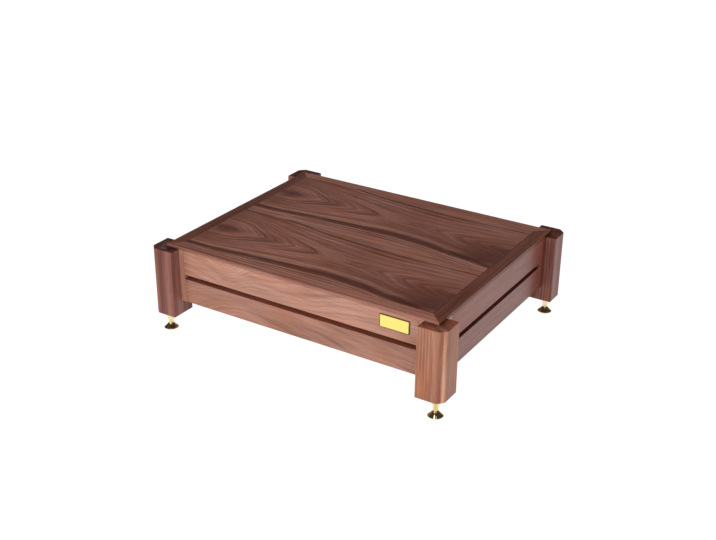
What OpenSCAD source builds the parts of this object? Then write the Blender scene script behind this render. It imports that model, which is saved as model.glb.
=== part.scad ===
// Low walnut stand for one heavy amplifier.
// Four notched corner posts carry a two-tier frame and a veneered top board.
// Each post stands on a brass levelling spike whose tip turns in a loose brass shoe.
// Millimetres, +Z up, front towards -Y. The origin is on the floor under the middle.

/* [Overall] */
// Width over the outer faces of the posts
overall_w = 600; // [520:5:700]
// Depth over the outer faces of the posts
overall_d = 480; // [400:5:600]
// How far the top board stands above the posts
board_lip = 4; // [0:0.5:5]

/* [Posts] */
// Side of the square post
post_w = 50; // [46:1:56]
// How far a post stands proud of the rails
post_reveal = 22; // [19:1:26]
// Corner chamfer down the outer edge of a post
post_chamfer = 11; // [6:1:13]
// Eased edge round the top of a post
post_ease = 2; // [1:0.5:3]
// Height of the solid block of the post below the frame
shoulder_h = 27; // [24:1:40]

/* [Frame] */
// Thickness of every rail
rail_t = 20; // [16:1:21]
// Height of the lower rails
lower_rail_h = 45.5; // [40:0.5:60]
// Height of the open slot between the rails
slot_h = 9; // [6:0.5:14]
// Height of the upper rails
upper_rail_h = 46.5; // [44:0.5:60]
// Size of a corner stile along the front
stile_w = 38; // [36:1:46]
// Size of a corner stile along the side
stile_d = 44; // [42:1:52]
// Flat cut across the inner corner of a stile, as a seat for the bolts
stile_cut = 16; // [12:1:18]

/* [Top board] */
// Width of the mitred border strips
border_w = 24; // [22:1:34]
// Thickness of the border strips
border_t = 6; // [5:0.5:8]
// Eased outer edge of the border
border_ease = 1.5; // [0.5:0.5:3]
// Thickness of the core panel
core_t = 19; // [15:1:21]
// Thickness of the sawn veneer leaves and of the sheet underneath
veneer_t = 1; // [0.6:0.1:1.5]
// Place of the seam between the two leaves, from the middle, back is positive
seam_y = -10; // [-40:1:40]

/* [Cleats and battens] */
// Width of the cleats that carry the panel
cleat_w = 16; // [12:1:20]
// Height of the cleats
cleat_h = 18; // [14:1:19]
// Space between a cleat's end and the stile
cleat_end_gap = 14; // [12:1:24]
// Width of the stiffening battens
batten_w = 40; // [30:1:60]
// Height of the stiffening battens
batten_h = 18; // [14:1:22]
// Distance of each batten from the middle
batten_x = 120; // [90:1:150]

/* [Joinery] */
// Diameter of the beech dowels
dowel_d = 8; // [6:1:10]
// Length of the dowels
dowel_l = 36; // [30:1:40]
// Distance between the two dowels of a joint
dowel_pitch = 24; // [18:1:28]
// Diameter of the bolts that hold the posts
bolt_d = 6; // [5:0.5:7]
// Length of those bolts under the head
bolt_l = 65; // [60:1:68]
// Height of the lower bolt above the shoulder of the post
bolt_rise = 21; // [16:1:26]
// Distance between the two bolts of a post
bolt_pitch = 36; // [30:1:38]
// Diameter of a bolt head
bolt_head_d = 12; // [10:0.5:13]
// Height of a bolt head
bolt_head_h = 4; // [3:0.5:5]
// Diameter of the bolt washers
washer_d = 17; // [15:0.5:18]
// Thickness of the bolt washers
washer_t = 1.5; // [1:0.5:2]
// Diameter of the wood screws
screw_d = 4; // [3.5:0.5:5]
// Head diameter of the wood screws
screw_head_d = 8; // [7:0.5:9]
// Length of the wood screws
screw_l = 30; // [26:1:32]

/* [Levelling feet] */
// How far a foot is set outwards from the middle of its post
foot_shift = 4; // [0:0.5:5]
// Diameter of the threaded stud
stud_d = 8; // [6:1:8]
// Length of the threaded stud
stud_l = 18; // [16:1:19]
// Outer diameter of the threaded insert
insert_d = 12; // [11:0.5:14]
// Length of the threaded insert
insert_l = 20; // [20:1:21]
// Diameter of the spike at its wide top
cone_d = 20; // [16:1:24]
// Height of the spike from its tip to its top face
cone_h = 32.1; // [28:0.1:38]
// Upright land round the top of the spike
cone_land = 1.5; // [1:0.5:3]
// Radius where the cone of the spike turns into its blunt nose
nose_r = 3; // [2.5:0.1:3.5]
// Radius of the flat at the very tip
tip_r = 0.6; // [0.4:0.1:0.9]
// Diameter of the shoe
shoe_d = 27; // [24:1:32]
// Height of the shoe
shoe_h = 8.6; // [7.5:0.1:11]
// Height of the upright rim of the shoe
shoe_rim_h = 2.2; // [1.5:0.1:3]
// Brass left under the dimple of the shoe
shoe_floor_t = 3.3; // [2.5:0.1:4]
// Width of the flat lip round the dimple
shoe_lip = 1.2; // [0.8:0.1:2]

/* [Nameplate] */
// Length of the blank brass plate
plate_w = 56; // [40:1:70]
// Height of the plate
plate_h = 24; // [16:1:28]
// Thickness of the plate
plate_t = 1.5; // [1:0.1:2.5]
// Bevel round the plate
plate_bevel = 1; // [0.5:0.1:1]
// Distance from the right edge of the frame to the middle of the plate
plate_from_edge = 80; // [74:1:160]
// Distance from the top of the board to the middle of the plate
plate_from_top = 24.5; // [22:0.5:26]
// Thickness of the adhesive film behind the plate
film_t = 0.3; // [0.2:0.1:0.5]

/* [Clearances] */
// Radial clearance of glued dowels, screws, bolts and inserts
glue_gap = 0.05; // [0.02:0.01:0.1]
// Radial running clearance of the stud in its insert
thread_gap = 0.05; // [0.02:0.01:0.1]
// Clearance between the spike and what it bears on
seat_gap = 0.3; // [0.2:0.05:0.5]
// Clearance round the spike at the top of the shoe
shoe_gap = 0.4; // [0.3:0.05:0.8]
// Extra depth of a blind hole past the end of its fastener
end_gap = 1; // [0.5:0.5:1]

/* [Hidden] */

// Heights from the floor up
tip_z = shoe_floor_t + seat_gap;
cone_top = tip_z + cone_h;
foot_h = cone_top + seat_gap;
shoulder_z = foot_h + shoulder_h;
upper_z = shoulder_z + lower_rail_h + slot_h;
stile_top = upper_z + upper_rail_h;
board_top = stile_top + border_t;
post_top = board_top - board_lip;
core_top = board_top - veneer_t;
core_z = core_top - core_t;
panel_z = core_z - veneer_t;
cleat_z = panel_z - cleat_h;
batten_z = panel_z - batten_h;

// Half sizes of the frame over the faces of its rails
frame_x = overall_w / 2 - post_reveal;
frame_y = overall_d / 2 - post_reveal;

// Foot place, from the outer corner of a post
foot_in = post_w / 2 - foot_shift;

// Middle of the bolt seat, from the outer corner of a stile, and its distance on the diagonal
seat_in = (stile_w + stile_d - stile_cut) / 2;
seat_run = seat_in * sqrt(2);
bolt_start = seat_run + washer_t;
bolt_heights = [shoulder_z + bolt_rise, shoulder_z + bolt_rise + bolt_pitch];

// Screw places along a cleat, from its ends
cleat_screw_inset = 30;
panel_screw_inset = 75;
batten_screw_inset = 40;
screw_head_h = (screw_head_d - screw_d) / 2;

// Shapes of the spike and the shoe
nose_z = tip_z + nose_r - tip_r;
land_z = cone_top - cone_land;
cone_r = cone_d / 2;
shoe_mouth_r = nose_r + (cone_r - nose_r) * (shoe_h - nose_z) / (land_z - nose_z) + shoe_gap;
shoe_top_r = shoe_mouth_r + shoe_lip;
stud_point = 0.8;
insert_bore_spare = 2;

// Corners in the order front left, front right, back right, back left
CORNER_X = [-1, 1, 1, -1];
CORNER_Y = [-1, -1, 1, 1];

// Overshoot of a cutting shape past a face
over = 1;
$fn = 64;

walnut_face = [0.66, 0.45, 0.36];
walnut_side = [0.55, 0.38, 0.31];
walnut_dark = [0.40, 0.24, 0.19];
walnut_end = [0.33, 0.19, 0.15];
fibre = [0.62, 0.50, 0.36];
pale_wood = [0.80, 0.66, 0.46];
brass = [0.86, 0.68, 0.30];
steel = [0.62, 0.63, 0.65];

// Puts a front left corner piece, drawn from the outer corner of its post, at corner i
module at_corner(i) {
  translate([CORNER_X[i] * overall_w / 2, CORNER_Y[i] * overall_d / 2, 0])
    flip_x(CORNER_X[i] > 0) flip_y(CORNER_Y[i] > 0) children();
}

module flip_x(on) {
  if (on) mirror([1, 0, 0]) children();
  else children();
}

module flip_y(on) {
  if (on) mirror([0, 1, 0]) children();
  else children();
}

// Sides in the order front, right, back, left: x runs along the side, y inwards from its face
module on_side(i) {
  rotate([0, 0, 90 * i])
    translate([0, -(i % 2 == 0 ? frame_y : frame_x), 0]) children();
}

// Half the length of a rail between its stiles
function rail_half(i) = i % 2 == 0 ? frame_x - stile_w : frame_y - stile_d;

function cleat_half(i) = rail_half(i) - cleat_end_gap;

function cleat_screw_places(i) = [for (s = [-1, 0, 1]) s * (cleat_half(i) - cleat_screw_inset)];

function panel_screw_places(i) = [for (s = [-1, 1]) s * (cleat_half(i) - panel_screw_inset)];

// Half the length of a batten, and its screw places along it
batten_half = frame_y - rail_t - cleat_w;
batten_screw_places = [for (s = [-1, 0, 1]) s * (batten_half - batten_screw_inset)];

// Heights of the two dowels at the end of a rail
function dowel_heights(z, h) = [z + h / 2 - dowel_pitch / 2, z + h / 2 + dowel_pitch / 2];

all_dowel_heights = concat(
  dowel_heights(shoulder_z, lower_rail_h),
  dowel_heights(upper_z, upper_rail_h)
);

// A line on the diagonal of a corner, starting at the outer corner of the stile
module on_diagonal(z) {
  translate([post_reveal, post_reveal, z]) rotate([0, 0, 45]) rotate([0, 90, 0]) children();
}

// Wood screw with its head's face at z = 0 and its point upwards
module wood_screw(spare = 0) {
  head = screw_head_d / 2 + spare;
  shank = screw_d / 2 + spare;
  past = spare > 0 ? over : 0;
  point = screw_l + (spare > 0 ? end_gap : 0);
  rotate_extrude()
    polygon([
      [0, -past], [head, -past], [head, 0], [shank, screw_head_h],
      [shank, point - screw_d], [0, point]
    ]);
}

// Block whose four top edges are eased
module eased_block(w, d, h, ease) {
  intersection() {
    translate([0, d, 0]) rotate([90, 0, 0]) linear_extrude(d) eased_profile(w, h, ease);
    rotate([90, 0, 90]) linear_extrude(w) eased_profile(d, h, ease);
  }
}

module eased_profile(w, h, ease) {
  polygon([[0, 0], [w, 0], [w, h - ease], [w - ease, h], [ease, h], [0, h - ease]]);
}

// Post: one square walnut block, notched for the corner of the frame
module post(i) {
  post_h = post_top - foot_h;
  corner_run = post_chamfer / sqrt(2);
  color(walnut_side) at_corner(i) difference() {
    translate([0, 0, foot_h]) eased_block(post_w, post_w, post_h, post_ease);
    translate([post_reveal, post_reveal, shoulder_z]) cube([post_w, post_w, post_h]);
    // chamfer down the outer corner, with its own eased top edge
    translate([0, 0, foot_h - over]) rotate([0, 0, 45])
      translate([corner_run - post_w, -post_w, 0]) cube([post_w, 2 * post_w, post_h + 2 * over]);
    translate([0, 0, post_top]) rotate([0, 0, 45]) translate([corner_run, post_w, 0])
      rotate([90, 0, 0]) linear_extrude(2 * post_w)
        polygon([[-over, over], [-over, -post_ease - over], [post_ease + over, over]]);
    insert_hole();
    for (z = bolt_heights) on_diagonal(z)
      translate([0, 0, bolt_start - bolt_l - end_gap])
        cylinder(h = bolt_l, r = bolt_d / 2 + glue_gap);
  }
}

module insert_hole() {
  translate([foot_in, foot_in, foot_h - over])
    cylinder(h = insert_l + insert_bore_spare + over, r = insert_d / 2 + glue_gap);
}

// Stile: upright walnut block in each corner of the frame, flush with the rails
module stile(i) {
  color(walnut_face) at_corner(i) difference() {
    translate([post_reveal, post_reveal, shoulder_z])
      linear_extrude(stile_top - shoulder_z)
        polygon([
          [0, 0], [stile_w, 0], [stile_w, stile_d - stile_cut],
          [stile_w - stile_cut, stile_d], [0, stile_d]
        ]);
    // rebate for the corner of the panel
    translate([post_reveal + rail_t, post_reveal + rail_t, panel_z])
      cube([stile_w, stile_d, core_t + over]);
    for (z = all_dowel_heights) {
      translate([post_reveal + stile_w, post_reveal + rail_t / 2, z])
        rotate([0, 90, 0]) dowel_hole();
      translate([post_reveal + rail_t / 2, post_reveal + stile_d, z])
        rotate([90, 0, 0]) dowel_hole();
    }
    for (z = bolt_heights) on_diagonal(z)
      translate([0, 0, -bolt_d]) cylinder(h = seat_run + 2 * bolt_d, r = bolt_d / 2 + glue_gap);
  }
}

module dowel_hole() {
  cylinder(h = dowel_l + 2 * end_gap, r = dowel_d / 2 + glue_gap, center = true);
}

// Rail: plain walnut board between two stiles, one dowel joint at each end
module rail(i, z, h, with_screws) {
  half = rail_half(i);
  color(i % 2 == 0 ? walnut_face : walnut_side) on_side(i) difference() {
    translate([-half, 0, z]) cube([2 * half, rail_t, h]);
    for (x = [-half, half], height = dowel_heights(z, h))
      translate([x, rail_t / 2, height]) rotate([0, 90, 0]) dowel_hole();
    if (with_screws) cleat_screw_set(i, glue_gap);
  }
}

// Screws that hold a cleat to its rail, or their holes
module cleat_screw_set(i, spare = 0) {
  for (x = cleat_screw_places(i))
    translate([x, rail_t + cleat_w, cleat_z + cleat_h / 2]) rotate([90, 0, 0]) wood_screw(spare);
}

// Screws that hold a cleat to the panel, or their holes
module panel_screw_set(i, spare = 0) {
  for (x = panel_screw_places(i))
    translate([x, rail_t + cleat_w / 2, cleat_z]) wood_screw(spare);
}

// Screws that hold a batten to the panel, or their holes
module batten_screw_set(side, spare = 0) {
  for (y = batten_screw_places)
    translate([side * batten_x, y, batten_z]) wood_screw(spare);
}

module all_panel_screws(spare = 0) {
  for (i = [0:3]) on_side(i) panel_screw_set(i, spare);
  for (side = [-1, 1]) batten_screw_set(side, spare);
}

// Border: four mitred walnut strips that cap the rails and frame the veneer
module border(i) {
  outer = i % 2 == 0 ? frame_x : frame_y;
  color(walnut_dark) on_side(i) difference() {
    translate([0, 0, stile_top]) linear_extrude(border_t)
      polygon([
        [-outer, 0], [outer, 0], [outer - border_w, border_w], [border_w - outer, border_w]
      ]);
    // eased outer edge
    translate([-outer - over, 0, board_top]) rotate([90, 0, 90])
      linear_extrude(2 * outer + 2 * over)
        polygon([[-over, over], [-over, -border_ease - over], [border_ease + over, over]]);
  }
}

// Panel core: fibreboard with a shallow rebate all round that the border covers
module panel_core() {
  inner_x = frame_x - rail_t;
  inner_y = frame_y - rail_t;
  field_x = frame_x - border_w;
  field_y = frame_y - border_w;
  color(fibre) difference() {
    union() {
      translate([-inner_x, -inner_y, core_z]) cube([2 * inner_x, 2 * inner_y, stile_top - core_z]);
      translate([-field_x, -field_y, core_z]) cube([2 * field_x, 2 * field_y, core_t]);
    }
    all_panel_screws(glue_gap);
  }
}

// Veneer: two sawn leaves with their seam along the board
module veneer(y_from, y_to) {
  field_x = frame_x - border_w;
  color(walnut_dark) translate([-field_x, y_from, core_top])
    cube([2 * field_x, y_to - y_from, veneer_t]);
}

// Sheet under the core that keeps the panel flat
module veneer_under() {
  inner_x = frame_x - rail_t;
  inner_y = frame_y - rail_t;
  color(walnut_side) difference() {
    translate([-inner_x, -inner_y, panel_z]) cube([2 * inner_x, 2 * inner_y, veneer_t]);
    all_panel_screws(glue_gap);
  }
}

// Cleat: strip screwed to the inside of an upper rail, carries the edge of the panel
module cleat(i) {
  half = cleat_half(i);
  color(pale_wood) on_side(i) difference() {
    translate([-half, rail_t, cleat_z]) cube([2 * half, cleat_w, cleat_h]);
    cleat_screw_set(i, glue_gap);
    panel_screw_set(i, glue_gap);
  }
}

// Batten: stiffens the panel from front to back
module batten(side) {
  color(pale_wood) difference() {
    translate([side * batten_x - batten_w / 2, -batten_half, batten_z])
      cube([batten_w, 2 * batten_half, batten_h]);
    batten_screw_set(side, glue_gap);
  }
}

module dowels() {
  color(pale_wood) for (i = [0:3]) on_side(i)
    for (x = [-rail_half(i), rail_half(i)], z = all_dowel_heights)
      translate([x, rail_t / 2, z]) rotate([0, 90, 0])
        cylinder(h = dowel_l, r = dowel_d / 2, center = true);
}

// Bolts that pull each post against its stile, two to a corner
module post_bolts() {
  color(steel) for (i = [0:3]) at_corner(i) for (z = bolt_heights) on_diagonal(z)
    translate([0, 0, bolt_start - bolt_l]) {
      translate([0, 0, bolt_d / 2]) cylinder(h = bolt_l - bolt_d / 2, r = bolt_d / 2);
      cylinder(h = bolt_d / 2, r1 = bolt_d / 4, r2 = bolt_d / 2);
      translate([0, 0, bolt_l]) cylinder(h = bolt_head_h, r = bolt_head_d / 2);
    }
}

module bolt_washers() {
  color(steel) for (i = [0:3]) at_corner(i) for (z = bolt_heights) on_diagonal(z)
    translate([0, 0, seat_run]) difference() {
      cylinder(h = washer_t, r = washer_d / 2);
      translate([0, 0, -over]) cylinder(h = washer_t + 2 * over, r = bolt_d / 2 + glue_gap);
    }
}

module cleat_screws() {
  color(steel) for (i = [0:3]) on_side(i) cleat_screw_set(i);
}

module panel_screws() {
  color(steel) all_panel_screws();
}

module threaded_inserts() {
  color(brass) for (i = [0:3]) at_corner(i) translate([foot_in, foot_in, foot_h])
    difference() {
      cylinder(h = insert_l, r = insert_d / 2);
      translate([0, 0, -over]) cylinder(h = insert_l + 2 * over, r = stud_d / 2 + thread_gap);
    }
}

// Nameplate: blank brass plate with a bevel all round, held by a film of adhesive
module nameplate() {
  color(brass) on_side(0)
    translate([frame_x - plate_from_edge - plate_w / 2, 0, board_top - plate_from_top - plate_h / 2])
      translate([0, -film_t, 0]) rotate([90, 0, 0])
        eased_block(plate_w, plate_h, plate_t, plate_bevel);
}

module nameplate_film() {
  edge = plate_bevel;
  color("dimgray") on_side(0)
    translate([frame_x - plate_from_edge - plate_w / 2 + edge, -film_t,
      board_top - plate_from_top - plate_h / 2 + edge])
      cube([plate_w - 2 * edge, film_t, plate_h - 2 * edge]);
}

// Spike: turned brass cone with a threaded stud that screws up into the post
module spike(i) {
  stud_r = stud_d / 2;
  stud_top = cone_top + stud_l;
  color(brass) at_corner(i) translate([foot_in, foot_in, 0]) rotate_extrude()
    polygon([
      [0, tip_z], [tip_r, tip_z], [nose_r, nose_z], [cone_r, land_z], [cone_r, cone_top],
      [stud_r, cone_top], [stud_r, stud_top - stud_point], [stud_r - stud_point, stud_top],
      [0, stud_top]
    ]);
}

// Shoe: turned brass foot with a dimple in which the tip of the spike stands
module shoe(i) {
  shoe_r = shoe_d / 2;
  color(brass) at_corner(i) translate([foot_in, foot_in, 0]) rotate_extrude()
    polygon([
      [0, 0], [shoe_r, 0], [shoe_r, shoe_rim_h], [shoe_top_r, shoe_h], [shoe_mouth_r, shoe_h],
      [shoe_mouth_r, shoe_floor_t + shoe_mouth_r - tip_r], [tip_r, shoe_floor_t],
      [0, shoe_floor_t]
    ]);
}

post(0);  // post_front_left
post(1);  // post_front_right
post(2);  // post_back_right
post(3);  // post_back_left
stile(0);  // stile_front_left
stile(1);  // stile_front_right
stile(2);  // stile_back_right
stile(3);  // stile_back_left
rail(0, upper_z, upper_rail_h, true);  // upper_rail_front
rail(1, upper_z, upper_rail_h, true);  // upper_rail_right
rail(2, upper_z, upper_rail_h, true);  // upper_rail_back
rail(3, upper_z, upper_rail_h, true);  // upper_rail_left
rail(0, shoulder_z, lower_rail_h, false);  // lower_rail_front
rail(1, shoulder_z, lower_rail_h, false);  // lower_rail_right
rail(2, shoulder_z, lower_rail_h, false);  // lower_rail_back
rail(3, shoulder_z, lower_rail_h, false);  // lower_rail_left
border(0);  // border_front
border(1);  // border_right
border(2);  // border_back
border(3);  // border_left
panel_core();
veneer(border_w - frame_y, seam_y);  // veneer_front
veneer(seam_y, frame_y - border_w);  // veneer_back
veneer_under();
cleat(0);  // cleat_front
cleat(1);  // cleat_right
cleat(2);  // cleat_back
cleat(3);  // cleat_left
batten(-1);  // batten_left
batten(1);  // batten_right
dowels();
post_bolts();
bolt_washers();
cleat_screws();
panel_screws();
threaded_inserts();
nameplate();
nameplate_film();
spike(0);  // spike_front_left
spike(1);  // spike_front_right
spike(2);  // spike_back_right
spike(3);  // spike_back_left
shoe(0);  // shoe_front_left
shoe(1);  // shoe_front_right
shoe(2);  // shoe_back_right
shoe(3);  // shoe_back_left
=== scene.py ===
import math

import bmesh
import bpy
from mathutils import Matrix, Vector


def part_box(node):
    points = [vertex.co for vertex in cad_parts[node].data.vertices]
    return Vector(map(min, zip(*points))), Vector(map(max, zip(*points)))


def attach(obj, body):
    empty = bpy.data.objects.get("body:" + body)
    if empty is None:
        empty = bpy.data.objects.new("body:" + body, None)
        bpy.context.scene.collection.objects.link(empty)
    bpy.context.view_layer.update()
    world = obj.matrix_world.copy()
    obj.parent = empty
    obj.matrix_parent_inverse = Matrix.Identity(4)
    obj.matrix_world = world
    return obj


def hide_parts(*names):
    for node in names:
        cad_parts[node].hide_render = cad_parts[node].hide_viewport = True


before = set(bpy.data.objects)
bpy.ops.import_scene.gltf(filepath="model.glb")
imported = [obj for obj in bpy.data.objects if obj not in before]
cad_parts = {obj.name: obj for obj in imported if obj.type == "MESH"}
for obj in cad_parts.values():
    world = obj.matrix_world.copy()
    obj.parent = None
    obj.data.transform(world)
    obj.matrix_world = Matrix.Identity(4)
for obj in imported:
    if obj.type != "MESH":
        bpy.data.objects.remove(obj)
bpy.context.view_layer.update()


# The camera looks down on the stand over its front right corner, from about two metres.
# A fairly long lens keeps the upright edges nearly parallel.
view_azimuth = math.radians(31.865)
view_elevation = math.radians(25.587)
view_roll = math.radians(0.514)
camera_place = (0.9894, -1.6043, 1.0043)
lens_length = 56.67
sensor_width = 36
bpy.ops.object.camera_add(location=camera_place)
camera = bpy.context.object
camera.name = "camera"
camera.rotation_euler = (
    Matrix.Rotation(view_azimuth, 4, "Z")
    @ Matrix.Rotation(math.pi / 2 - view_elevation, 4, "X")
    @ Matrix.Rotation(view_roll, 4, "Z")
).to_euler()
camera.data.lens = lens_length
camera.data.sensor_width = sensor_width
bpy.context.scene.camera = camera


# The studio. A white floor with a low white wall far round it glows, so that it stays white and
# lights the stand's sides from below. It lies 8 mm under the shoes, for the feet to screw out.
# Large soft lights stand in front and at the right, and the room is dim, so the top is darker.
bpy.context.scene.view_settings.view_transform = "Standard"
stand_middle = Vector((0, 0, 0.1))
room_glow = 0.05
floor_glow = 0.99
floor_grey = 0.12
floor_drop = 0.0081
floor_radius = 20
wall_height = 3.2


def soft_light(name, place, width, height, watts, colour):
    """Adds a rectangular lamp at a place, facing the middle of the stand."""
    bpy.ops.object.light_add(type="AREA", location=place)
    lamp = bpy.context.object
    lamp.name = name
    lamp.rotation_euler = (Vector(place) - stand_middle).to_track_quat("Z", "Y").to_euler()
    lamp.data.shape = "RECTANGLE"
    lamp.data.size = width
    lamp.data.size_y = height
    lamp.data.energy = watts
    lamp.data.color = colour


soft_light("front_light", (-1.0, -2.6, 1.5), width=3.4, height=2.0, watts=58,
           colour=(1.0, 0.98, 0.96))
soft_light("right_light", (2.3, -2.1, 1.35), width=2.8, height=2.0, watts=28,
           colour=(1.0, 0.98, 0.97))
soft_light("top_light", (0.35, -0.55, 2.4), width=1.1, height=1.1, watts=20,
           colour=(1.0, 0.97, 0.95))
room = bpy.data.worlds.new("room")
bpy.context.scene.world = room
room.use_nodes = True
room.node_tree.nodes["Background"].inputs["Color"].default_value = (1, 1, 1, 1)
room.node_tree.nodes["Background"].inputs["Strength"].default_value = room_glow
bpy.ops.object.select_all(action="DESELECT")
bpy.ops.mesh.primitive_circle_add(vertices=96, radius=floor_radius, fill_type="NGON",
                                  location=(0, 0, -floor_drop))
floor = bpy.context.object
floor.name = "floor"
bpy.ops.object.mode_set(mode="EDIT")
bpy.ops.mesh.select_all(action="SELECT")
bpy.ops.mesh.region_to_loop()
bpy.ops.mesh.extrude_edges_move(TRANSFORM_OT_translate={"value": (0, 0, wall_height)})
bpy.ops.object.mode_set(mode="OBJECT")
floor_paint = bpy.data.materials.new("floor_paint")
floor_paint.use_nodes = True
floor_shader = floor_paint.node_tree.nodes["Principled BSDF"]
floor_shader.inputs["Base Color"].default_value = (floor_grey, floor_grey, floor_grey, 1)
floor_shader.inputs["Roughness"].default_value = 1
floor_shader.inputs["Specular IOR Level"].default_value = 0
floor_shader.inputs["Emission Color"].default_value = (1, 1, 1, 1)
floor_shader.inputs["Emission Strength"].default_value = floor_glow
floor.data.materials.append(floor_paint)


# Corner posts. Four blocks of solid walnut, 50 mm square, with the grain upright. Each is notched
# over a corner of the frame, chamfered down its outer corner, eased round the top, bored from
# below for a threaded insert, and bolted through the corner of the frame from inside.
near = 0.0001  # places closer than this are the same
steep = 0.9  # a direction or normal with more than this along an axis lies along it
post_low, post_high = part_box("post_front_right")
frame_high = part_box("border_back")[1]
frame_half_x, frame_half_y = frame_high.x, frame_high.y
shoulder_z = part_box("lower_rail_front")[0].z
post_side = post_high.x - post_low.x
post_half = post_side / 2
post_x = post_high.x - post_half
post_y = -post_low.y - post_half
notch_x = frame_half_x - post_x
notch_y = post_y - frame_half_y
post_chamfer = 0.011
post_top_ease = 0.002
post_edge_ease = 0.0009
post_corner_ease = 0.003
widest_ease = 0.004
foot_shift = 0.004
insert_bore_radius = 0.00605
insert_bore_depth = 0.022
sharp_angle = math.radians(60)
end_slope = 0.75  # a face that looks further than this along the grain shows end grain


def start_piece(name, add, stretch=(1, 1, 1), place=(0, 0, 0), **more):
    """Adds a primitive with its place and size in its mesh, and opens it in edit mode."""
    bpy.ops.object.select_all(action="DESELECT")
    add(location=place, **more)
    piece = bpy.context.object
    piece.name = piece.data.name = name
    piece.scale = stretch
    bpy.ops.object.transform_apply(location=True, rotation=True, scale=True)
    bpy.ops.object.mode_set(mode="EDIT")
    return piece


def pick_piece(piece):
    """Selects one piece alone and makes it the active one."""
    bpy.ops.object.select_all(action="DESELECT")
    bpy.context.view_layer.objects.active = piece
    piece.select_set(True)


def pick_faces(test):
    """Selects the faces in edit mode whose middle and normal pass a test."""
    bpy.ops.mesh.select_mode(type="FACE")
    bpy.ops.mesh.select_all(action="DESELECT")
    shape = bmesh.from_edit_mesh(bpy.context.object.data)
    for face in shape.faces:
        face.select_set(bool(test(face.calc_center_median(), face.normal)))
    bmesh.update_edit_mesh(bpy.context.object.data)


def pick_edges(test):
    """Selects the edges in edit mode whose middle and direction pass a test."""
    bpy.ops.mesh.select_mode(type="EDGE")
    bpy.ops.mesh.select_all(action="DESELECT")
    shape = bmesh.from_edit_mesh(bpy.context.object.data)
    for edge in shape.edges:
        start, end = (corner.co for corner in edge.verts)
        edge.select_set(bool(test((start + end) / 2, (end - start).normalized())))
    bmesh.update_edit_mesh(bpy.context.object.data)


def extrude(x, y, z):
    """Extrudes what is selected by a distance."""
    bpy.ops.mesh.extrude_region_move(TRANSFORM_OT_translate={"value": (x, y, z)})


def mark_ease(width):
    """Marks the selected edges to be rounded by a width when the piece is finished."""
    shape = bmesh.from_edit_mesh(bpy.context.object.data)
    weights = shape.edges.layers.float
    weight = weights.get("bevel_weight_edge") or weights.new("bevel_weight_edge")
    for edge in shape.edges:
        if edge.select:
            edge[weight] = width / widest_ease
    bmesh.update_edit_mesh(bpy.context.object.data)


def apply_modifier(piece, kind, **settings):
    """Adds a modifier to a piece, sets it and applies it."""
    bpy.ops.object.modifier_add(type=kind)
    modifier = piece.modifiers[-1]
    for setting, value in settings.items():
        setattr(modifier, setting, value)
    bpy.ops.object.modifier_apply(modifier=modifier.name)


def level_faces(piece):
    """Makes the large faces of a smooth piece look flat."""
    apply_modifier(piece, "WEIGHTED_NORMAL", weight=100, keep_sharp=True)


def finish_wood(piece):
    """Rounds the marked edges of a wooden piece and shades its faces flat and its edges round."""
    bpy.ops.mesh.select_all(action="SELECT")
    bpy.ops.mesh.normals_make_consistent(inside=False)
    bpy.ops.object.mode_set(mode="OBJECT")
    apply_modifier(piece, "BEVEL", limit_method="WEIGHT", width=widest_ease, segments=3,
                   offset_type="OFFSET", use_clamp_overlap=False)
    bpy.ops.object.shade_smooth()
    level_faces(piece)


def copy_piece(piece, name, place=(0, 0, 0), turn=0, tilt=0):
    """Copies a piece with its own mesh, turned and moved, with its new place in the mesh."""
    pick_piece(piece)
    bpy.ops.object.duplicate()
    copy = bpy.context.object
    copy.name = copy.data.name = name
    copy.location = place
    copy.rotation_euler = (0, math.radians(tilt), math.radians(turn))
    bpy.ops.object.transform_apply(location=True, rotation=True, scale=True)
    return copy


def delete_pattern(piece):
    """Deletes the pattern once its copies are made."""
    pick_piece(piece)
    bpy.ops.object.delete()


class Wire:
    """An output of a shader node. Arithmetic on it adds the Math nodes that it needs."""

    def __init__(self, tree, socket=None):
        self.tree = tree
        self.socket = socket

    def node(self, kind, settings, values, output=0):
        """Adds a node, sets it, and fills its sockets with values or links."""
        new = self.tree.nodes.new("ShaderNode" + kind)
        for setting, value in settings.items():
            if setting == "stops":
                set_ramp(new.color_ramp, value, settings["ease"])
            elif setting != "ease":
                setattr(new, setting, value)
        for place, value in values.items():
            if isinstance(value, Wire):
                self.tree.links.new(value.socket, new.inputs[place])
            else:
                new.inputs[place].default_value = value
        return Wire(self.tree, new.outputs[output])

    def math(self, operation, *values):
        """Does arithmetic that starts from this output."""
        return self.node("Math", {"operation": operation}, dict(enumerate((self, *values))))

    def ramp(self, stops, ease="LINEAR"):
        """Turns a number into the number or colour that the stops give it."""
        return self.node("ValToRGB", {"stops": stops, "ease": ease}, {0: self})

    def feed(self, shader, place):
        """Links this output to a shader's socket."""
        self.tree.links.new(self.socket, shader.inputs[place])

    def __add__(self, other):
        return self.math("ADD", other)

    __radd__ = __add__

    def __sub__(self, other):
        return self.math("SUBTRACT", other)

    def __rsub__(self, other):
        return self.node("Math", {"operation": "SUBTRACT"}, {0: other, 1: self})

    def __mul__(self, other):
        return self.math("MULTIPLY", other)

    __rmul__ = __mul__

    def __truediv__(self, other):
        return self.math("DIVIDE", other)

    def __neg__(self):
        return self.math("MULTIPLY", -1)


def set_ramp(ramp, stops, ease):
    """Sets the stops of a ramp from pairs of a place and a number or colour."""
    ramp.interpolation = ease
    while len(ramp.elements) > 1:
        ramp.elements.remove(ramp.elements[-1])
    for number, (place, value) in enumerate(stops):
        stop = ramp.elements[0] if number == 0 else ramp.elements.new(place)
        stop.position = place
        colour = value if isinstance(value, tuple) else (value, value, value)
        stop.color = (*colour, 1)


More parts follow.
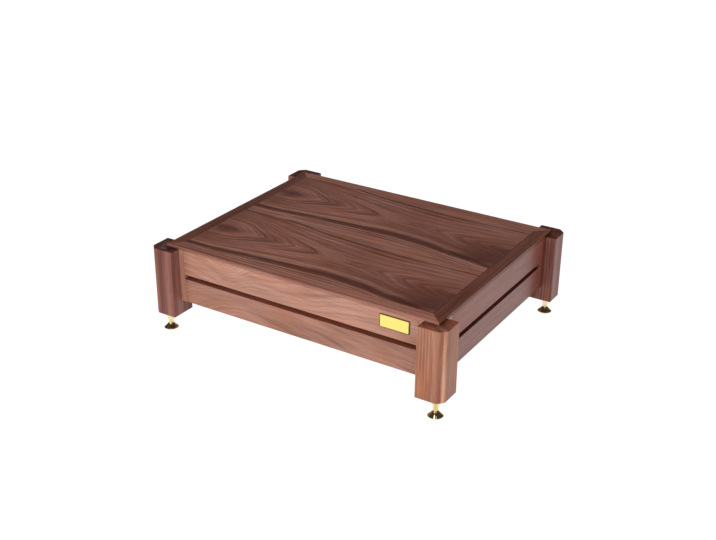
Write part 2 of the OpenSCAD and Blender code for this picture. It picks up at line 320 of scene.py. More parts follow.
def blend(amount, first, second, kind="MIX"):
    """Mixes two colours by an amount."""
    tree = next(value for value in (amount, first, second) if isinstance(value, Wire))
    colours = [value if isinstance(value, Wire) else (*value, 1) for value in (first, second)]
    return tree.node("Mix", {"data_type": "RGBA", "blend_type": kind},
                     {0: amount, 6: colours[0], 7: colours[1]}, 2)


def shades(colour, strength):
    """Multiplies a colour by a number that varies."""
    grey = strength.node("CombineColor", {}, {0: strength, 1: strength, 2: strength})
    return blend(1.0, colour, grey, "MULTIPLY")


def noise(x, y, z, detail=2, roughness=0.5):
    """Smooth noise from 0 to 1 at a place."""
    place = next(value for value in (x, y, z) if isinstance(value, Wire))
    place = place.node("CombineXYZ", {}, {0: x, 1: y, 2: z})
    return place.node("TexNoise", {"noise_dimensions": "3D"},
                      {"Vector": place, "Scale": 1, "Detail": detail, "Roughness": roughness})


def start_finish(name):
    """Makes a material and gives it, its shader and the three Object coordinates."""
    finish = bpy.data.materials.new(name)
    finish.use_nodes = True
    tree = finish.node_tree
    place = Wire(tree).node("TexCoord", {}, {}, "Object")
    return finish, tree.nodes["Principled BSDF"], [
        place.node("SeparateXYZ", {}, {0: place}, axis) for axis in range(3)]


def walnut(name, grain, heart, tones, face=0, ring=0.0045, lines=0.55, figure=None, shift=0,
           wander=0.010, streaks=0.7, gloss=0.27, rough=0.2, smudges=(), seed=0, end=None):
    """Lacquered walnut, cut from one log.

    The rings are tubes round the heart of the log, a line along the grain given as points:
    place along the grain, place across the board, depth under its face. A face cuts the rings
    into lines where the heart is far off and into arches where it comes near. A figure names
    the rings that stand out on the near and far side of the heart: millimetres, and a tone
    from -1, dark, to 1, pale. On the front right post the figure is a painted highlight down
    its chamfer. Tones are pale, light, middle and dark. Lines is the strength of the rings, one
    number or a list by millimetres from the heart, and wander is how far they stray. Smudges
    are dark places: along, across, half length, half width and strength. End is the tint of
    end grain; on the rails it is also painted shade on their top and bottom faces, and on the
    post bottoms it is end grain darkened further as painted shade.
    """
    finish, shader, (x, y, z) = start_finish(name)
    y = y - shift if shift else y
    along, across, through = {"X": (x, y, z), "Xz": (x, z, y), "Y": (y, x, z), "Yz": (y, z, x),
                              "Z": (z, x, y)}[grain]
    pale, light, middle, dark = tones

    def drawn(length_scale, width_scale, detail=2):
        """Noise drawn out along the grain, with its waves a metre along and across it."""
        return noise(along * length_scale + seed, across * width_scale,
                     through * width_scale, detail)

    # how far the place is from the heart, with the slow wander of a real log
    if len(heart) > 1:
        starts, ends = heart[0][0], heart[-1][0]
        low = min(point[1] for point in heart)
        span = max(point[1] for point in heart) - low + near
        low_depth = min(point[2] for point in heart)
        span_depth = max(point[2] for point in heart) - low_depth + near
        stops = [((at - starts) / (ends - starts),
                  ((side - low) / span, (depth - low_depth) / span_depth, 0.0))
                 for at, side, depth in heart]
        line = ((along - starts) / (ends - starts)).ramp(stops, "B_SPLINE")
        side, depth = (line.node("SeparateColor", {}, {0: line}, channel) for channel in (0, 1))
        side, depth = side * span + low, depth * span_depth + low_depth
        deepest = low_depth + span_depth
    else:
        side, depth = heart[0][1], heart[0][2]
    inward = -1 if face > 0 else 1
    aside = across - side + (drawn(4, 9) - 0.5) * wander
    under = (through - face) * inward + depth
    squares = aside * aside + under * under
    if figure and len(heart) > 1:
        # the arches of the figure are narrower than round rings would be
        arch_reach, arch_pull = 0.06, 1.8
        beside = aside.math("ABSOLUTE")
        pull = (1 - beside / arch_reach).math("MAXIMUM", 0)
        squares = squares + beside * under * pull * (1 - under / deepest) * arch_pull
    radius = squares.math("SQRT") + (drawn(11, 45, 3) - 0.5) * (wander * 0.35)

    # fine lines that follow the rings, and wide dark and light stain that fades along them
    hair = noise(radius * 700 + seed, along * 7, seed, 3, 0.65)
    hair = hair.ramp([(0.25, 0), (0.75, 1)])
    stain = noise(radius * 75 + seed, along * 1.7, seed, 3, 0.6).ramp([(0.32, 0), (0.68, 1)])
    # each ring darkens slowly and ends at a crisp line, some much stronger than others
    count = radius / ring + noise(radius * 55 + seed, seed, seed, 1) * 1.7
    in_ring = count.math("FRACT")
    late = in_ring.ramp([(0, 0.2), (0.1, 0), (0.45, 0.04), (0.92, 1), (1, 0.3)])
    early = in_ring.ramp([(0.12, 0), (0.3, 1), (0.5, 0)])
    strong = noise(count.math("FLOOR") * 3.7 + seed, along * 2.5, seed, 0)
    strong = strong.ramp([(0.35, 0.1), (0.65, 1)])
    if isinstance(lines, list):
        lines = (radius * (1000 / lines[-1][0])).ramp(
            [(at / lines[-1][0], amount) for at, amount in lines])
    # fibres and open pores, drawn out along the grain
    fibre = drawn(25, 700)
    pores = drawn(170, 1500).ramp([(0.58, 0), (0.68, 1)])
    cloud = drawn(6, 24)
    flame = drawn(14, 230)
    blush = drawn(12, 30, 1).ramp([(0.4, 0), (0.65, 1)])

    colour = blend(stain, light, middle)
    colour = blend(early * strong * lines * 0.6, colour, pale)
    colour = blend(late * strong * lines, colour, dark)
    if figure:
        last = max(figure[0][-1][0], figure[1][-1][0])
        near_side, far_side = (
            (radius * (1000 / last)).ramp([(at / last, (tone + 1) / 2) for at, tone in stops])
            for stops in figure)
        far = (aside * 60 + 0.5).ramp([(0, 0), (1, 1)])
        tone = (near_side * (1 - far) + far_side * far) * 2 - 1
        broken = hair.ramp([(0.1, 0.5), (0.6, 1)])
        colour = blend((-tone).math("MAXIMUM", 0) * broken, colour, dark)
        colour = blend(tone.math("MAXIMUM", 0) * broken, colour, pale)
    colour = blend(hair.ramp([(0.6, 0), (1, streaks * 0.6)]), colour, pale)
    colour = blend(hair.ramp([(0, streaks * 0.7), (0.4, 0)]), colour, dark)
    for at, beside, length, width, amount in smudges:
        off_along, off_across = (along - at) / length, (across - beside) / width
        reach = off_along * off_along + off_across * off_across + (fibre - 0.5)
        colour = blend(reach.ramp([(0, amount), (1, 0)]) * (hair * 0.7 + 0.3), colour, dark)
    blush_tint, end_rough = (0.98, 0.88, 0.78), 0.4
    colour = blend(blush, colour, blush_tint, "MULTIPLY")
    colour = blend(pores * 0.3, colour, tuple(value * 0.5 for value in dark))
    if end:
        colour = blend(1.0, colour, end, "MULTIPLY")
    depth_of_tone = 0.18 + fibre * 0.5 + cloud * 0.6 + flame * 0.6
    shades(colour, depth_of_tone).feed(shader, "Base Color")
    sheen = end_rough if end else rough
    (sheen + pores * 0.2 + (cloud - 0.5) * 0.08).feed(shader, "Roughness")
    height = fibre * 0.35 - pores
    bump = height.node("Bump", {}, {"Height": height, "Strength": 0.3, "Distance": 0.00006})
    bump.feed(shader, "Normal")
    shader.inputs["Specular IOR Level"].default_value = gloss
    return finish


def dress_wood(piece, node, slot, is_end_or_shaded, end, **figure):
    """Gives a wooden piece its grain, and a darker tint for end grain and for painted shade,
    and puts it in a CAD node's place.
    """
    piece.data.materials.clear()
    piece.data.materials.append(walnut(piece.name + "_grain", **figure))
    piece.data.materials.append(walnut(piece.name + "_end", end=end, **figure))
    for face in piece.data.polygons:
        face.material_index = int(is_end_or_shaded(face.center, face.normal))
    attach(piece, "stand")
    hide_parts(node)


def beside_notch(at):
    """Says whether a place of the pattern post lies on the notch's two upright faces."""
    return (abs(at.x - notch_x) < near and at.y > notch_y - near) or (
        abs(at.y - notch_y) < near and at.x < notch_x + near)


post = start_piece("post_pattern", bpy.ops.mesh.primitive_plane_add, (post_side, post_side, 1),
                   (0, 0, post_low.z), size=1)
extrude(0, 0, shoulder_z - post_low.z)
bpy.ops.mesh.select_all(action="SELECT")
bpy.ops.mesh.bisect(plane_co=(notch_x, 0, 0), plane_no=(1, 0, 0))
bpy.ops.mesh.select_all(action="SELECT")
bpy.ops.mesh.bisect(plane_co=(0, notch_y, 0), plane_no=(0, 1, 0))
pick_faces(lambda at, normal: at.z > shoulder_z - near and not (at.x < notch_x and at.y > notch_y))
extrude(0, 0, post_high.z - shoulder_z)
bpy.ops.mesh.select_all(action="SELECT")
bpy.ops.mesh.dissolve_limited(angle_limit=math.radians(1))
pick_edges(lambda at, way: abs(way.z) > steep and at.x > post_half - near
           and at.y < near - post_half)
bpy.ops.mesh.bevel(offset=post_chamfer, segments=1, affect="EDGES")
pick_edges(lambda at, way: at.z > post_high.z - near and not beside_notch(at))
mark_ease(post_top_ease)
pick_edges(lambda at, way: at.z < post_high.z - near and (
    not beside_notch(at) or (abs(way.z) > steep and max(-at.x, at.y) > post_half - near)))
mark_ease(post_edge_ease)
pick_edges(lambda at, way: abs(way.z) > steep
           and at.x - at.y > post_side - post_chamfer - near)
mark_ease(post_corner_ease)
finish_wood(post)
drill = start_piece("drill", bpy.ops.mesh.primitive_cylinder_add,
                    place=(foot_shift, -foot_shift, post_low.z), vertices=48,
                    radius=insert_bore_radius, depth=insert_bore_depth * 2)
bpy.ops.object.mode_set(mode="OBJECT")
pick_piece(post)
apply_modifier(post, "BOOLEAN", operation="DIFFERENCE", object=drill, solver="EXACT")
bpy.ops.object.shade_smooth_by_angle(angle=sharp_angle)
level_faces(post)
delete_pattern(drill)

orange_walnut = ((0.62, 0.33, 0.225), (0.362, 0.156, 0.100), (0.300, 0.123, 0.077),
                 (0.18, 0.065, 0.036))
purple_walnut = ((0.40, 0.19, 0.155), (0.225, 0.085, 0.067), (0.150, 0.052, 0.041),
                 (0.055, 0.016, 0.012))
post_woods = [
    ("post_front_left", (-post_x, -post_y, 0), -90, purple_walnut, (-0.345, -0.170)),
    ("post_front_right", (post_x, -post_y, 0), 0, orange_walnut, (0.345, -0.130)),
    ("post_back_right", (post_x, post_y, 0), 90, purple_walnut, (0.230, 0.120)),
    ("post_back_left", (-post_x, post_y, 0), 180, purple_walnut, (-0.390, 0.250)),
]
# on the orange front right post, a painted highlight down the chamfer: a pale band with a dark
# line beside it
chamfer_painted_highlight = [(0, 0), (104, 0), (108, 0.35), (110.5, 1), (114.5, 1), (116, -0.2),
               (117.5, -0.6), (120, -0.4), (122, 0), (126, 0.2), (128, 0), (160, 0)]
brown_streak = [(0, 0), (84, 0), (86, -0.25), (88, 0), (94, 0), (96.5, -0.45), (100.5, -0.5),
                (103, 0), (110, 0.4), (113, 0), (160, 0)]
pale_end, dark_end, shaded_bottom_end = (0.68, 0.52, 0.46), (0.50, 0.38, 0.34), (0.22, 0.17, 0.15)
satin = 0.16
# the post bottoms: their end grain darkened further as painted shade, so that the shoes under them
# reflect it dark
underside = walnut("underside_painted_shade", grain="Z", heart=[(0, 0.1, 0.1)], tones=purple_walnut,
                   end=shaded_bottom_end, gloss=satin)
for number, (node, place, turn, wood, heart) in enumerate(post_woods):
    if wood is orange_walnut:
        mark, end, lines, streaks = chamfer_painted_highlight, pale_end, 0.35, 0.75
    else:
        mark, end, lines, streaks = brown_streak, dark_end, 0.7, 1.0
    piece = copy_piece(post, "walnut_" + node, place, turn)
    dress_wood(piece, node, "walnut_post", lambda at, normal: abs(normal.z) > end_slope, end,
               grain="Z", heart=[(0, heart[0], -heart[1])], tones=wood, ring=0.0036, lines=lines,
               figure=(mark, mark), wander=0.003, streaks=streaks, gloss=satin, rough=0.34,
               seed=number * 4.7 + 1)
    # the bottom faces, with the bore's ceiling, take the painted shade of the underside
    piece.data.materials.append(underside)
    for face in piece.data.polygons:
        if face.normal.z < -end_slope and face.center.z < shoulder_z - near:
            face.material_index = 2
delete_pattern(post)


# Rails. Eight boards of solid walnut, 20 mm thick, planed and eased along their edges. On each
# side an upper and a lower one are dowelled between the corner stiles, with a slot between them.
# The front ones have lighter tones than the others, and the lower front and right ones are a
# little darker than those above them. Their top, bottom and end faces take a darker red tint:
# end grain at the ends, and painted shade on the faces in the slot and under the lower rails.
rail_edge_ease = 0.0008
rail_end_ease = 0.0005
# the rails' top, bottom and end faces take this tint: end grain at the ends, and painted shade on
# the faces in the slot and under the lower rails
end_and_slot_shade_tint = (0.72, 0.43, 0.35)


def board(name, low, high, long_axis, edge_ease, end_ease):
    """Makes a board between two corners, with eased long edges and tight ends."""
    middle, size = (low + high) / 2, high - low
    piece = start_piece(name, bpy.ops.mesh.primitive_cube_add, size, middle, size=1)
    pick_edges(lambda at, way: abs(way[long_axis]) > steep)
    mark_ease(edge_ease)
    pick_edges(lambda at, way: abs(way[long_axis]) < steep)
    mark_ease(end_ease)
    finish_wood(piece)
    return piece


front_walnut = ((0.52, 0.32, 0.26), (0.42, 0.220, 0.165), (0.34, 0.165, 0.120),
                (0.20, 0.083, 0.056))
lower_walnut = ((0.45, 0.26, 0.20), (0.35, 0.178, 0.132), (0.28, 0.130, 0.094),
                (0.16, 0.062, 0.042))
side_walnut = ((0.34, 0.145, 0.11), (0.265, 0.090, 0.066), (0.205, 0.064, 0.046),
               (0.10, 0.028, 0.020))
low_side_walnut = ((0.30, 0.135, 0.11), (0.230, 0.083, 0.066), (0.178, 0.059, 0.046),
                   (0.087, 0.026, 0.020))
arches_up = [(-0.24, 0.205, 0.060), (-0.17, 0.200, 0.050), (-0.141, 0.200, 0.004),
             (-0.112, 0.200, 0.045), (-0.09, 0.200, 0.050), (0.04, 0.200, 0.070),
             (0.14, 0.205, 0.082), (0.24, 0.210, 0.080)]
arches_low = [(-0.24, 0.040, 0.066), (-0.208, 0.040, 0.050), (-0.137, 0.040, 0.018),
              (-0.096, 0.040, 0.006), (-0.056, 0.040, 0.018), (0.098, 0.040, 0.058),
              (0.24, 0.030, 0.078)]
rails = [
    ("upper_rail_front", "Xz", front_walnut, arches_up, -frame_half_y, 0.0060, 0.38),
    ("lower_rail_front", "Xz", lower_walnut, arches_low, -frame_half_y, 0.0070, 0.28),
    ("upper_rail_right", "Yz", side_walnut, [(0, 0.240, 0.030)], frame_half_x, 0.0045, 0.6),
    ("lower_rail_right", "Yz", low_side_walnut, [(0, 0.010, 0.040)], frame_half_x, 0.0045, 0.6),
    ("upper_rail_back", "Xz", side_walnut, [(0, 0.060, 0.050)], frame_half_y, 0.0045, 0.6),
    ("lower_rail_back", "Xz", side_walnut, [(0, 0.200, 0.040)], frame_half_y, 0.0045, 0.6),
    ("upper_rail_left", "Yz", side_walnut, [(0, 0.070, 0.030)], -frame_half_x, 0.0045, 0.6),
    ("lower_rail_left", "Yz", side_walnut, [(0, 0.150, 0.050)], -frame_half_x, 0.0045, 0.6),
]
for number, (node, grain, wood, heart, face, ring, lines) in enumerate(rails):
    long_axis = 0 if grain == "Xz" else 1
    piece = board("walnut_" + node, *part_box(node), long_axis, rail_edge_ease, rail_end_ease)
    # the top, bottom and end faces take the darker tint, which is painted shade in the slot and
    # under the lower rails
    dress_wood(piece, node, "walnut_rail", lambda at, normal: abs(normal.z) > end_slope
               or abs(normal[long_axis]) > end_slope, end_and_slot_shade_tint, grain=grain, heart=heart,
               face=face, tones=wood, ring=ring, lines=lines, streaks=1.0, rough=0.28,
               seed=number * 3.1 + 2)


# Corner stiles. Four upright walnut blocks behind the posts, bored for the rails' dowels and
# rabbeted for the core. Only a narrow strip of each shows beside its post.
stile_woods = [
    ("stile_front_left", front_walnut, (-0.30, -0.16)),
    ("stile_front_right", front_walnut, (0.30, -0.14)),
    ("stile_back_right", side_walnut, (0.22, 0.16)),
    ("stile_back_left", side_walnut, (-0.22, 0.26)),
]


def dress_node(node, finish):
    """Gives a CAD solid, whose shape is right as it is, its finish."""
    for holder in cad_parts[node].material_slots:
        holder.material = finish


for number, (node, wood, heart) in enumerate(stile_woods):
    dress_node(node, walnut(node + "_grain", grain="Z", heart=[(0, heart[0], -heart[1])],
                            tones=wood, ring=0.004, lines=0.5, seed=number * 2.3 + 5))


# Border of the board. Four strips of solid walnut, 24 mm wide and 6 mm thick, glued over the
# core and the rails' top edges and mitred at the corners. The outer top edge is rounded over.
border_round = 0.0015
joint_ease = 0.00015
border_top = frame_high.z
light_strip = ((0.50, 0.27, 0.20), (0.34, 0.152, 0.116), (0.24, 0.098, 0.074),
               (0.11, 0.036, 0.027))
dark_strip = ((0.26, 0.12, 0.09), (0.17, 0.066, 0.048), (0.125, 0.042, 0.031),
              (0.06, 0.018, 0.013))
border_woods = [
    ("border_front", 0, light_strip, [(0, -0.235, 0.05)], 11.0),
    ("border_right", 1, dark_strip, [(0, 0.300, 0.05)], 14.0),
    ("border_back", 0, light_strip, [(0, 0.245, 0.05)], 17.0),
    ("border_left", 1, dark_strip, [(0, -0.300, 0.05)], 21.0),
]
for node, long_axis, wood, heart, seed in border_woods:
    low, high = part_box(node)
    width = (high - low)[1 - long_axis]
    outside = frame_half_y if long_axis == 0 else frame_half_x
    inside = outside - width
    half_length = high[long_axis]
    piece = start_piece("walnut_" + node, bpy.ops.mesh.primitive_cube_add, high - low,
                        (low + high) / 2, size=1)
    pick_faces(lambda at, normal: abs(abs(at[1 - long_axis]) - inside) < near)
    shorter = (half_length - width) / half_length
    mitre = (shorter, 1, 1) if long_axis == 0 else (1, shorter, 1)
    bpy.ops.transform.resize(value=mitre, center_override=(0, 0, 0))
    pick_edges(lambda at, way: True)
    mark_ease(joint_ease)
    pick_edges(lambda at, way: at.z > border_top - near
               and abs(abs(at[1 - long_axis]) - outside) < near)
    mark_ease(border_round)
    finish_wood(piece)
    dress_wood(piece, node, "walnut_border", lambda at, normal: normal.z < -end_slope, dark_end,
               grain="XY"[long_axis], heart=heart, face=border_top, tones=wood, ring=0.0042,
               lines=0.6, wander=0.004, gloss=satin, rough=0.25, seed=seed)


# Board. Two leaves of crown-cut walnut veneer from one flitch, laid side by side on a fibreboard
# core, so that the second leaf repeats the arches of the first. A plain veneer backs the core.
leaf_walnut = ((0.52, 0.27, 0.20), (0.300, 0.131, 0.101), (0.225, 0.092, 0.070),
               (0.055, 0.014, 0.010))
crown = [(-0.258, -0.100, 0.003), (-0.232, -0.100, 0.003), (-0.205, -0.100, 0.006),
         (-0.18, -0.100, 0.026), (-0.137, -0.102, 0.041), (-0.075, -0.104, 0.054),
         (0.025, -0.106, 0.066),
         (0.113, -0.110, 0.063), (0.152, -0.113, 0.057), (0.220, -0.117, 0.046),
         (0.258, -0.120, 0.038)]
near_lines = [(0, -0.4), (5, -0.3), (13, 0), (28, 0), (31, 0.45), (34, 0), (37.5, 0),
              (39.5, -0.7), (41.5, -0.35), (46.7, -0.5), (48, 0), (51.5, 0), (53, -0.25),
              (54.5, 0), (57, 0), (58.5, -0.3), (60, 0), (68.5, 0), (69.7, -0.5), (71, 0),
              (73, -0.3), (78, 0.55), (81, 0.1), (84, -0.6), (90, -0.95),
              (94, -0.8), (97, -0.2), (99.5, 0.7), (102, -0.3), (105.5, 0.5), (109, -0.5),
              (112, 0.3)]
far_lines = [(0, -0.4), (5, -0.3), (13, 0), (28, 0), (31, 0.3), (34, 0), (37.5, 0),
             (39.5, -0.7), (41.5, 0), (51.5, 0), (53, -0.25), (54.5, 0), (57, 0), (58.5, -0.25),
             (60, 0), (67.5, 0), (69.7, -0.45), (72, 0), (92, 0), (95, -0.5), (98, -0.95),
             (100, -0.3), (102, 0.3), (105, 0), (130, 0)]
outer_lines = [(0, 0.12), (70, 0.15), (80, 0.4), (92, 0.9), (98, 0.5), (130, 0.5)]
leaf_step = 0.208
leaf_smudges = [(-0.275, -0.110, 0.060, 0.200, 0.45), (-0.228, -0.106, 0.034, 0.018, 0.95),
                (0.268, -0.152, 0.115, 0.062, 1.0), (0.210, -0.182, 0.060, 0.014, 0.9),
                (0.165, -0.150, 0.130, 0.060, 0.45), (-0.215, -0.010, 0.100, 0.030, 0.55),
                (0.020, -0.185, 0.140, 0.020, 0.25)]
for node, shift in (("veneer_front", 0), ("veneer_back", leaf_step)):
    dress_node(node, walnut(node + "_figure", grain="X", heart=crown, face=border_top,
                            tones=leaf_walnut, ring=0.0080, lines=outer_lines,
                            figure=(near_lines, far_lines), shift=shift, wander=0.006,
                            streaks=1.42, gloss=0.14, rough=0.28, smudges=leaf_smudges, seed=7.3))


def plain_finish(name, grain, colour, flecks, spread, roughness, depth):
    """A finish that varies a little in tone, roughness and height, drawn out along the grain."""
    finish, shader, (x, y, z) = start_finish(name)
    drawn_out, broader = 0.08, 12
    scales = [flecks * (drawn_out if axis == grain else 1) for axis in "XYZ"]
    fine = noise(x * scales[0], y * scales[1], z * scales[2], 3, 0.6)
    broad = noise(x * (scales[0] / broader), y * (scales[1] / broader),
                  z * (scales[2] / broader), 2)
    tone = 1 + (fine - 0.5) * spread * 2 + (broad - 0.5) * spread
    shades(colour, tone).feed(shader, "Base Color")
    (roughness + (broad - 0.5) * 0.15).feed(shader, "Roughness")
    bump = fine.node("Bump", {}, {"Height": fine, "Strength": 0.4, "Distance": depth})
    bump.feed(shader, "Normal")
    return finish


dress_node("panel_core", plain_finish(
    "raw_fibreboard", grain="", colour=(0.30, 0.19, 0.105), flecks=1400, spread=0.25,
    roughness=0.85, depth=0.0002))
dress_node("veneer_under", plain_finish(
    "backing_veneer", grain="X", colour=(0.20, 0.115, 0.075), flecks=500, spread=0.3,
    roughness=0.6, depth=0.0001))


# Cleats and battens. Beech strips screwed round the inside of the frame and across under the
# board, which carry it and keep it flat, and beech dowels, hidden in the rails' ends.
beech = (0.42, 0.26, 0.135)
for node, grain in (("cleat_front", "X"), ("cleat_back", "X"), ("cleat_left", "Y"),
                    ("cleat_right", "Y"), ("batten_left", "Y"), ("batten_right", "Y"),
                    ("dowels", "")):
    dress_node(node, plain_finish(node + "_beech", grain, beech, flecks=900, spread=0.22,
                                  roughness=0.55, depth=0.0001))


# Bolts and washers. Two zinc-plated hexagon bolts a corner go through the stile into the post,
# along the diagonal. They are hidden from outside and show only from underneath.
bolt_rise = 0.021
bolt_pitch = 0.036
bolt_radius = 0.003
bolt_length = 0.065
washer_radius = 0.0085
washer_start = 0.04667
head_start = 0.04817
head_end = 0.05217
head_radius = 0.006
shank_start = head_start - bolt_length
chamfer = 0.0005
corners = (("front_left", -1, -1, 45), ("front_right", 1, -1, 135), ("back_right", 1, 1, 225),
           ("back_left", -1, 1, 315))


def lathe(name, profile, sides, smooth=30):
    """Turns a closed piece from a list of radii and heights, from the bottom up.

    Edges under the angle smooth are shaded round.
    """
    piece = start_piece(name, bpy.ops.mesh.primitive_circle_add, place=(0, 0, profile[0][1]),
                        vertices=sides, radius=profile[0][0], fill_type="NGON")
    for (radius, height), (next_radius, next_height) in zip(profile, profile[1:]):
        extrude(0, 0, next_height - height)
        size = next_radius / radius
        bpy.ops.transform.resize(value=(size, size, 1), center_override=(0, 0, 0))
    bpy.ops.mesh.select_all(action="SELECT")
    bpy.ops.mesh.normals_make_consistent(inside=False)
    bpy.ops.object.mode_set(mode="OBJECT")
    bpy.ops.object.shade_smooth_by_angle(angle=math.radians(smooth))
    return piece


def join_pieces(pieces, name, node, finish, body="stand"):
    """Joins like pieces into one, and puts it on a body in place of a CAD node."""
    pick_piece(pieces[0])
    for piece in pieces[1:]:
        piece.select_set(True)
    if len(pieces) > 1:
        bpy.ops.object.join()
    pieces[0].name = pieces[0].data.name = name
    pieces[0].data.materials.clear()
    pieces[0].data.materials.append(finish)
    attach(pieces[0], body)
    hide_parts(node)


def metal(name, colour, roughness, worked, lines, depth):
    """Bare metal with the fine lines that brushing or turning leaves on it."""
    finish, shader, (x, y, z) = start_finish(name)
    stretch = {"brushed": (0.02, 1, 1), "turned": (0.05, 0.05, 1), "plated": (1, 1, 1)}[worked]
    spread, smears = 0.12, 90
    fine = noise(x * (lines * stretch[0]), y * (lines * stretch[1]), z * (lines * stretch[2]), 2)
    smear = noise(x * smears, y * smears, z * smears, 2)
    shades(colour, 1 + (fine - 0.5) * spread + (smear - 0.5) * spread).feed(shader, "Base Color")
    (roughness + (fine - 0.5) * 0.08 + (smear - 0.5) * 0.1).feed(shader, "Roughness")
    bump = fine.node("Bump", {}, {"Height": fine, "Strength": 0.25, "Distance": depth})
    bump.feed(shader, "Normal")
    shader.inputs["Metallic"].default_value = 1
    return finish


zinc = metal("zinc_plate", (0.55, 0.56, 0.60), roughness=0.34, worked="plated", lines=700,
             depth=0.00003)
bolt = lathe("bolt_pattern", [
    (bolt_radius - chamfer, shank_start), (bolt_radius, shank_start + chamfer),
    (bolt_radius, head_start)], sides=24)
head = lathe("head_pattern", [
    (head_radius, head_start), (head_radius, head_end - chamfer),
    (head_radius - chamfer * 2, head_end)], sides=6)
washer = lathe("washer_pattern", [
    (bolt_radius, washer_start), (washer_radius - chamfer, washer_start),
    (washer_radius, washer_start + chamfer), (washer_radius, head_start - chamfer),
    (washer_radius - chamfer, head_start), (bolt_radius, head_start)], sides=40)
bolts, washers = [], []
for _, side_x, side_y, turn in corners:
    for step in (0, 1):
        height = shoulder_z + bolt_rise + step * bolt_pitch
        place = (side_x * frame_half_x, side_y * frame_half_y, height)
        bolts.append(copy_piece(bolt, "bolt", place, turn, 90))
        bolts.append(copy_piece(head, "head", place, turn, 90))
        washers.append(copy_piece(washer, "washer", place, turn, 90))
for pattern in (bolt, head, washer):
    delete_pattern(pattern)
join_pieces(bolts, "hexagon_bolts", "post_bolts", zinc)
join_pieces(washers, "round_washers", "bolt_washers", zinc)


# Screws. Countersunk zinc-plated wood screws, 4 by 30 mm, hold the cleats to the rails, and the
# board down to the cleats and battens from below.
screw_radius = 0.002
screw_tip = 0.0003
screw_taper = 0.005
screw_head = 0.004
screw_rim = 0.0002
screw_length = 0.030
recess_radius = 0.0022
recess_waist = 0.66
recess_depth = 0.0015
spoke_angle = 30
screw = lathe("screw_pattern", [
    (screw_tip, -screw_length), (screw_radius, -screw_length + screw_taper),
    (screw_radius, -screw_head + screw_radius), (screw_head, -screw_rim),
    (screw_head - screw_rim, 0), (recess_radius, 0)], sides=360 // spoke_angle)
bpy.ops.object.mode_set(mode="EDIT")
bpy.ops.mesh.select_mode(type="VERT")
bpy.ops.mesh.select_all(action="DESELECT")
shape = bmesh.from_edit_mesh(screw.data)
for corner in shape.verts:
    spoke = round(math.degrees(math.atan2(corner.co.x, corner.co.y)) / spoke_angle) % 2
    on_rim = abs(corner.co.xy.length - recess_radius) < near and abs(corner.co.z) < near
    corner.select_set(on_rim and spoke == 1)
bmesh.update_edit_mesh(screw.data)
bpy.ops.transform.resize(value=(recess_waist, recess_waist, 1), center_override=(0, 0, 0))
pick_faces(lambda at, normal: abs(at.z) < near and at.xy.length < near and abs(normal.z) > steep)
extrude(0, 0, -recess_depth)
bpy.ops.mesh.select_all(action="SELECT")
bpy.ops.mesh.normals_make_consistent(inside=False)
bpy.ops.object.mode_set(mode="OBJECT")
# the screws through the cleats into the rails, three to a cleat, in the middle of its height
cleat_screw_inset = 0.030
back_low, back_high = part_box("cleat_back")
right_low, right_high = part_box("cleat_right")
cleat_middle = (back_low.z + back_high.z) / 2
screws = []
for step in (-1, 0, 1):
    x = step * (back_high.x - cleat_screw_inset)
    screws.append(copy_piece(screw, "screw", (x, -back_low.y, cleat_middle), 90, 90))
    screws.append(copy_piece(screw, "screw", (x, back_low.y, cleat_middle), -90, 90))
for step in (-1, 0, 1):
    y = step * (right_high.y - cleat_screw_inset)
    screws.append(copy_piece(screw, "screw", (-right_low.x, y, cleat_middle), 0, 90))
    screws.append(copy_piece(screw, "screw", (right_low.x, y, cleat_middle), 180, 90))
join_pieces(screws, "cleat_wood_screws", "cleat_screws", zinc)
# the screws up into the board, two to a cleat and three to a batten
board_screw_inset = 0.075
batten_screw_inset = 0.040
batten_low, batten_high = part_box("batten_right")
cleat_x, cleat_y = (right_low.x + right_high.x) / 2, (back_low.y + back_high.y) / 2
front_screw_x = back_high.x - board_screw_inset
side_screw_y = right_high.y - board_screw_inset
batten_x = (batten_low.x + batten_high.x) / 2
batten_screw_y = batten_high.y - batten_screw_inset
places = [(step * front_screw_x, side * cleat_y) for step in (-1, 1) for side in (-1, 1)]
places += [(side * cleat_x, step * side_screw_y) for step in (-1, 1) for side in (-1, 1)]
places += [(side * batten_x, step * batten_screw_y) for step in (-1, 0, 1) for side in (-1, 1)]
screws = [copy_piece(screw, "screw", (x, y, back_low.z), 0, 180) for x, y in places]
join_pieces(screws, "board_wood_screws", "panel_screws", zinc)
delete_pattern(screw)


# Nameplate. A blank plate of brushed and lacquered brass, 56 by 24 mm, with a dark bevelled
# rim, stuck on the upper front rail with a thin film.
plate_low, plate_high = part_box("nameplate")
rim_width = 0.0015
rim_drop = 0.0007
rim_ease = 0.0001
plate_corner_ease = 0.0008
level = 0.98
plate = start_piece("brass_nameplate", bpy.ops.mesh.primitive_cube_add, plate_high - plate_low,
                    (plate_low + plate_high) / 2, size=1)
pick_faces(lambda at, normal: normal.y < -steep)
bpy.ops.mesh.inset(thickness=rim_width, depth=0)
pick_edges(lambda at, way: at.y < plate_low.y + near and (
    min(abs(at.x - plate_low.x), abs(at.x - plate_high.x)) < near
    or min(abs(at.z - plate_low.z), abs(at.z - plate_high.z)) < near))
bpy.ops.transform.translate(value=(0, rim_drop, 0))
mark_ease(rim_ease)
pick_edges(lambda at, way: abs(way.y) > steep)
mark_ease(plate_corner_ease)
finish_wood(plate)
plate.data.materials.clear()
plate.data.materials.append(metal("brushed_brass", (0.95, 0.78, 0.22), roughness=0.32,
                                  worked="brushed", lines=3500, depth=0.00002))
plate.data.materials.append(metal("dark_brass", (0.10, 0.085, 0.02), roughness=0.45,
                                  worked="plated", lines=900, depth=0.00002))
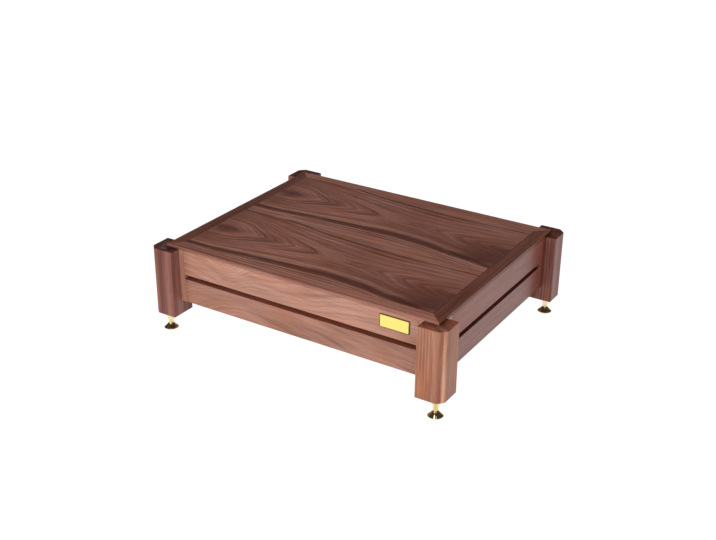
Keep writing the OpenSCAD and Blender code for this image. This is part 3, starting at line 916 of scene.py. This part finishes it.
for face in plate.data.polygons:
    in_front = face.normal.y < -level and face.center.y < plate_low.y + near
    face.material_index = 0 if in_front else 1
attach(plate, "stand")
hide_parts("nameplate")
dress_node("nameplate_film", plain_finish(
    "foam_film", grain="", colour=(0.02, 0.018, 0.016), flecks=2500, spread=0.2, roughness=0.8,
    depth=0.0001))


# Feet. Each spike is turned from brass and screws into a threaded insert in its post. Its cone
# ends in a rounded nose, which stands in the dimple of a loose brass shoe on the floor.
foot_x, foot_y = post_x + foot_shift, post_y + foot_shift
brass = metal("turned_brass", (0.84, 0.72, 0.45), roughness=0.10, worked="turned", lines=2600,
              depth=0.00001)
dress_node("threaded_inserts", metal("insert_brass", (0.80, 0.60, 0.28), roughness=0.35,
                                     worked="plated", lines=900, depth=0.00003))
spike_low, spike_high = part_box("spike_front_right")
cone_radius = (spike_high.x - spike_low.x) / 2
stud_radius = 0.004
thread_depth = 0.0006
thread_pitch = 0.00125
thread_turns = 13
thread_start = 0.0006
cone_top = 0.0357
cone_land = 0.0015
cone_ease = 0.0004
stud_chamfer = 0.0008
nose = [(0.0006, spike_low.z), (0.0013, 0.0040), (0.0021, 0.0047), (0.0027, 0.0055),
        (0.0031, 0.0062)]
cone = [(0.0034, 0.0080), (cone_radius - cone_ease, cone_top - cone_land - cone_ease),
        (cone_radius, cone_top - cone_land), (cone_radius, cone_top - 0.0003),
        (cone_radius - 0.0003, cone_top), (stud_radius, cone_top)]
thread = []
for turn in range(thread_turns):
    foot = cone_top + thread_start + turn * thread_pitch
    thread += [(stud_radius, foot), (stud_radius - thread_depth, foot + thread_pitch * 0.45),
               (stud_radius, foot + thread_pitch * 0.9)]
point = [(stud_radius, spike_high.z - stud_chamfer), (stud_radius - stud_chamfer, spike_high.z)]
spike = lathe("spike_pattern", nose + cone + thread + point, sides=64, smooth=40)
shoe_radius = 0.0135
shoe_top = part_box("shoe_front_right")[1].z
shoe = lathe("shoe_pattern", [
    (shoe_radius - 0.0006, 0), (shoe_radius, 0.0005), (shoe_radius, 0.0019),
    (shoe_radius - 0.0005, 0.0023), (0.0063, shoe_top - 0.0005), (0.0059, shoe_top - 0.0002),
    (0.0054, shoe_top), (0.0041, shoe_top), (0.0041, 0.0067), (0.0030, 0.0052),
    (0.0019, 0.0040), (0.0008, 0.0033)], sides=72, smooth=40)
for corner, side_x, side_y, _ in corners:
    place = (side_x * foot_x, side_y * foot_y, 0)
    join_pieces([copy_piece(spike, "spike", place)], "brass_spike_" + corner, "spike_" + corner,
                brass, "spike_" + corner)
    join_pieces([copy_piece(shoe, "shoe", place)], "brass_shoe_" + corner, "shoe_" + corner,
                brass, "shoe_" + corner)
delete_pattern(spike)
delete_pattern(shoe)
